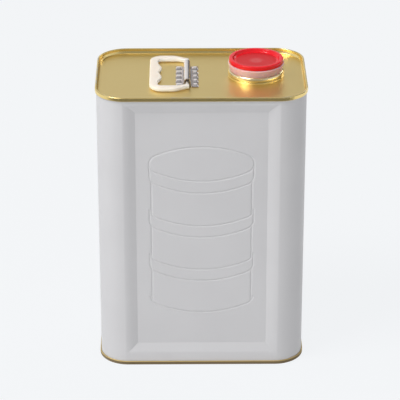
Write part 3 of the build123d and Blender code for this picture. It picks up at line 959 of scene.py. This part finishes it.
# The wad is a disc punched from foamed polythene sheet. It is snapped into the cap
# and seals on the nozzle's lip, which has pressed a shallow ring into it.
wad_profile = [
    (11.9, 10.4, 0),
    (12.1, 10.46, 0),
    (13.4, 10.46, 0),
    (13.6, 10.4, 0),
    (13.9, 10.5, 0.08),
    (13.9, 11.4, 0.12),
    (2.0, 11.4, 0),
]
foam_white = (0.85, 0.85, 0.84, 1)
foam_shade = (0.78, 0.78, 0.77, 1)


def make_foam():
    """White foam sheet with a slightly uneven tone and a fine grain."""
    material, tree, surface = new_material("foam wad")
    skin = use_group(tree, moulded)
    shaded(tree, surface, [
        ("Base Color", blended(tree, skin.outputs["Tone"], foam_white, foam_shade)),
        ("Roughness", ranged(tree, skin.outputs["Grain"], 0.3, 0.7, 0.66, 0.74)),
        ("Normal", bumped(tree, skin.outputs["Grain"], 0.015 * mm, 0.5)),
    ])
    return material


wad = turned_piece("foam_wad", wad_profile, False)
smooth_faces(wad, moulding_smooth_angle)
foam_wad = make_foam()
dress(wad, foam_wad)
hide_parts("cap_wad")
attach(wad, "wad")

# The screw cap is moulded in red plastic, with a sunk middle that keeps its gate
# mark, a thick rim that covers the collar, and a threaded skirt on the nozzle.
cap_profile = [
    (14.2, 11.4, 0.3),
    (14.2, 1.5, 0.3),
    (15.7, 1.5, 0.3),
    (15.7, 11.4, 0.2),
    (22.0, 11.4, 0.25),
    (22.0, 14.8, 0.9),
    (19.1, 14.8, 0.45),
    (17.9, 12.3, 0.9),
    (5.2, 12.3, 0),
    (4.8, 12.2, 0),
    (1.3, 12.2, 0),
    (1.0, 12.4, 0),
]
cap_red = (0.78, 0.012, 0.020, 1)
cap_red_sunk = (0.59, 0.010, 0.014, 1)
cap_sunk_radius = 16.4 * mm
cap_pale_radius = 5.5 * mm
cap_pale_share = 0.06
cap_thread_start = 2.5
cap_thread_root = 14.25 * mm
cap_thread_crest = 13.75 * mm


def make_cap_plastic():
    """Glossy red plastic, with a matt spark-eroded middle that is palest near its centre."""
    material, tree, surface = new_material("red plastic")
    skin = use_group(tree, moulded)
    axes = add_node(tree, "ShaderNodeSeparateXYZ", [(0, object_place(tree))]).outputs
    east = combined(tree, "SUBTRACT", axes["X"], spout_x)
    north = combined(tree, "SUBTRACT", axes["Y"], spout_y)
    east = combined(tree, "MULTIPLY", east, east)
    north = combined(tree, "MULTIPLY", north, north)
    out = combined(tree, "POWER", combined(tree, "ADD", east, north), 0.5)
    sunk = ranged(tree, out, cap_sunk_radius, cap_sunk_radius - 0.3 * mm, 0.0, 1.0)
    pale_middle = ranged(tree, out, 1.15 * cap_pale_radius, 0.6 * cap_pale_radius, 0.0, cap_pale_share)
    grain = combined(tree, "MULTIPLY", skin.outputs["Grain"], sunk)
    colour = blended(tree, sunk, cap_red, cap_red_sunk)
    shaded(tree, surface, [
        ("Base Color", blended(tree, pale_middle, colour, handle_white)),
        ("Roughness", ranged(tree, sunk, 0, 1, 0.14, 0.42)),
        ("Normal", bumped(tree, grain, 0.02 * mm, 0.6)),
        ("Specular IOR Level", 0.3),
    ])
    return material


cap = turned_piece("red_screw_cap", cap_profile, False)
join_to(cap, screw_thread("cap_thread", cap_thread_start, cap_thread_root, cap_thread_crest))
smooth_faces(cap, moulding_smooth_angle)
red_plastic = make_cap_plastic()
dress(cap, red_plastic)
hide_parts("screw_cap")
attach(cap, "cap")

# The camera stands in front and looks down on the tin through a long lens. Its place
# was worked out from the tin's twelve edges in the picture.
camera_place = Vector((-0.01601, -1.60091, 0.88055))
camera_forward = Vector((0.0085541, 0.904479, -0.426432))
camera_right = Vector((0.9999554, -0.0094484, 0.0000185))
camera_lens = 191.504
camera_sensor = 36.0
camera_up = camera_right.cross(camera_forward)
camera_data = bpy.data.cameras.new("studio_camera")
camera_data.lens = camera_lens
camera_data.sensor_width = camera_sensor
camera_data.clip_start = 0.05
camera_data.clip_end = 30
camera = bpy.data.objects.new("studio_camera", camera_data)
camera.matrix_world = Matrix.Translation(camera_place) @ Matrix(
    (camera_right, camera_up, -camera_forward)
).transposed().to_4x4()
bpy.context.collection.objects.link(camera)
bpy.context.scene.camera = camera

# A large soft box lights the tin from the upper left, a small one from behind, and a
# weak one from in front that no metal mirrors. The white room fills the rest.
# Name, place, size, watts, and whether shiny surfaces mirror it.
soft_boxes = [
    ("key_box", (-1.9, -1.12, 2.98), (1.6, 1.5), 94.0, True),
    ("back_box", (0.9, 1.1, 0.75), (0.5, 0.5), 2.6, True),
    ("fill_box", (-0.2, -1.6, 0.95), (1.0, 1.0), 4.0, False),
]
aim = Vector((0, 0, seam_middle))
for name, spot, size, power, shows in soft_boxes:
    lamp_data = bpy.data.lights.new(name, "AREA")
    lamp_data.shape = "RECTANGLE"
    lamp_data.size = size[0]
    lamp_data.size_y = size[1]
    lamp_data.energy = power
    lamp = bpy.data.objects.new(name, lamp_data)
    lamp.location = spot
    lamp.rotation_euler = (aim - Vector(spot)).to_track_quat("-Z", "Y").to_euler()
    lamp.visible_glossy = shows
    bpy.context.collection.objects.link(lamp)

# A dark card lies in front of the tin, below the picture. Only shiny surfaces see it:
# it draws the dark edges of the rims.
flag_place = (-0.05, -0.72, 0.002)
flag_size = (1.4, 0.85)
flag_grey = (0.16, 0.16, 0.16, 1)
clear_selection()
bpy.ops.mesh.primitive_plane_add(size=1, location=flag_place)
flag = bpy.context.object
flag.name = "dark_card"
flag.scale = (flag_size[0], flag_size[1], 1)
bpy.ops.object.transform_apply(location=True, rotation=True, scale=True)
material, tree, surface = new_material("dark card")
card = add_node(tree, "ShaderNodeBsdfDiffuse", [("Color", flag_grey)])
tree.links.new(card.outputs[0], surface)
flag.data.materials.append(material)
flag.visible_camera = False
flag.visible_diffuse = False
flag.visible_shadow = False

# The room is white to the eye and in reflections near the horizon. It is dimmer up
# high, behind on the right and round the camera, which shades the lid and its metal.
room_white = (0.895, 0.912, 0.93, 1)
room_fill = 0.46
room_levels = [(0.2, 1.0), (0.42, 0.69), (0.7, 0.46)]
right_starts = 0.06
right_full = 0.3
right_glow = 0.08
front_starts = -0.6
front_full = -0.93
front_glow = 0.4
world = bpy.data.worlds.new("studio room")
bpy.context.scene.world = world
world.use_nodes = True
tree = world.node_tree
tree.nodes.clear()
output = tree.nodes.new("ShaderNodeOutputWorld")
rays = add_node(tree, "ShaderNodeLightPath").outputs
way = add_node(tree, "ShaderNodeTexCoord").outputs["Generated"]
axes = add_node(tree, "ShaderNodeSeparateXYZ", [(0, way)]).outputs
levels = add_node(tree, "ShaderNodeValToRGB", [(0, axes["Z"])])
stops = levels.color_ramp.elements
stops.new(0.5)
for stop, (height, level) in zip(stops, room_levels):
    stop.position = height
    stop.color = (level, level, level, 1)
behind = ranged(tree, axes["Y"], 0.2, 0.5, 0.0, 1.0)
dimmed = ranged(tree, axes["X"], right_starts, right_full, 0.0, 1 - right_glow)
dimmed = combined(tree, "SUBTRACT", 1.0, combined(tree, "MULTIPLY", dimmed, behind))
front = ranged(tree, axes["Y"], front_starts, front_full, 1.0, front_glow)
mirrored = combined(tree, "MULTIPLY", levels.outputs[0], combined(tree, "MULTIPLY", dimmed, front))
strength = add_node(
    tree, "ShaderNodeMix", [(0, rays["Is Glossy Ray"]), (2, room_fill), (3, mirrored)], data_type="FLOAT"
)
seen = combined(tree, "MAXIMUM", rays["Is Camera Ray"], rays["Is Transmission Ray"])
strength = add_node(
    tree, "ShaderNodeMix", [(0, seen), (2, strength.outputs[0]), (3, 1.0)], data_type="FLOAT"
)
air = add_node(tree, "ShaderNodeBackground", [("Color", room_white), ("Strength", strength.outputs[0])])
tree.links.new(air.outputs[0], output.inputs["Surface"])

bpy.context.scene.view_settings.view_transform = "Standard"
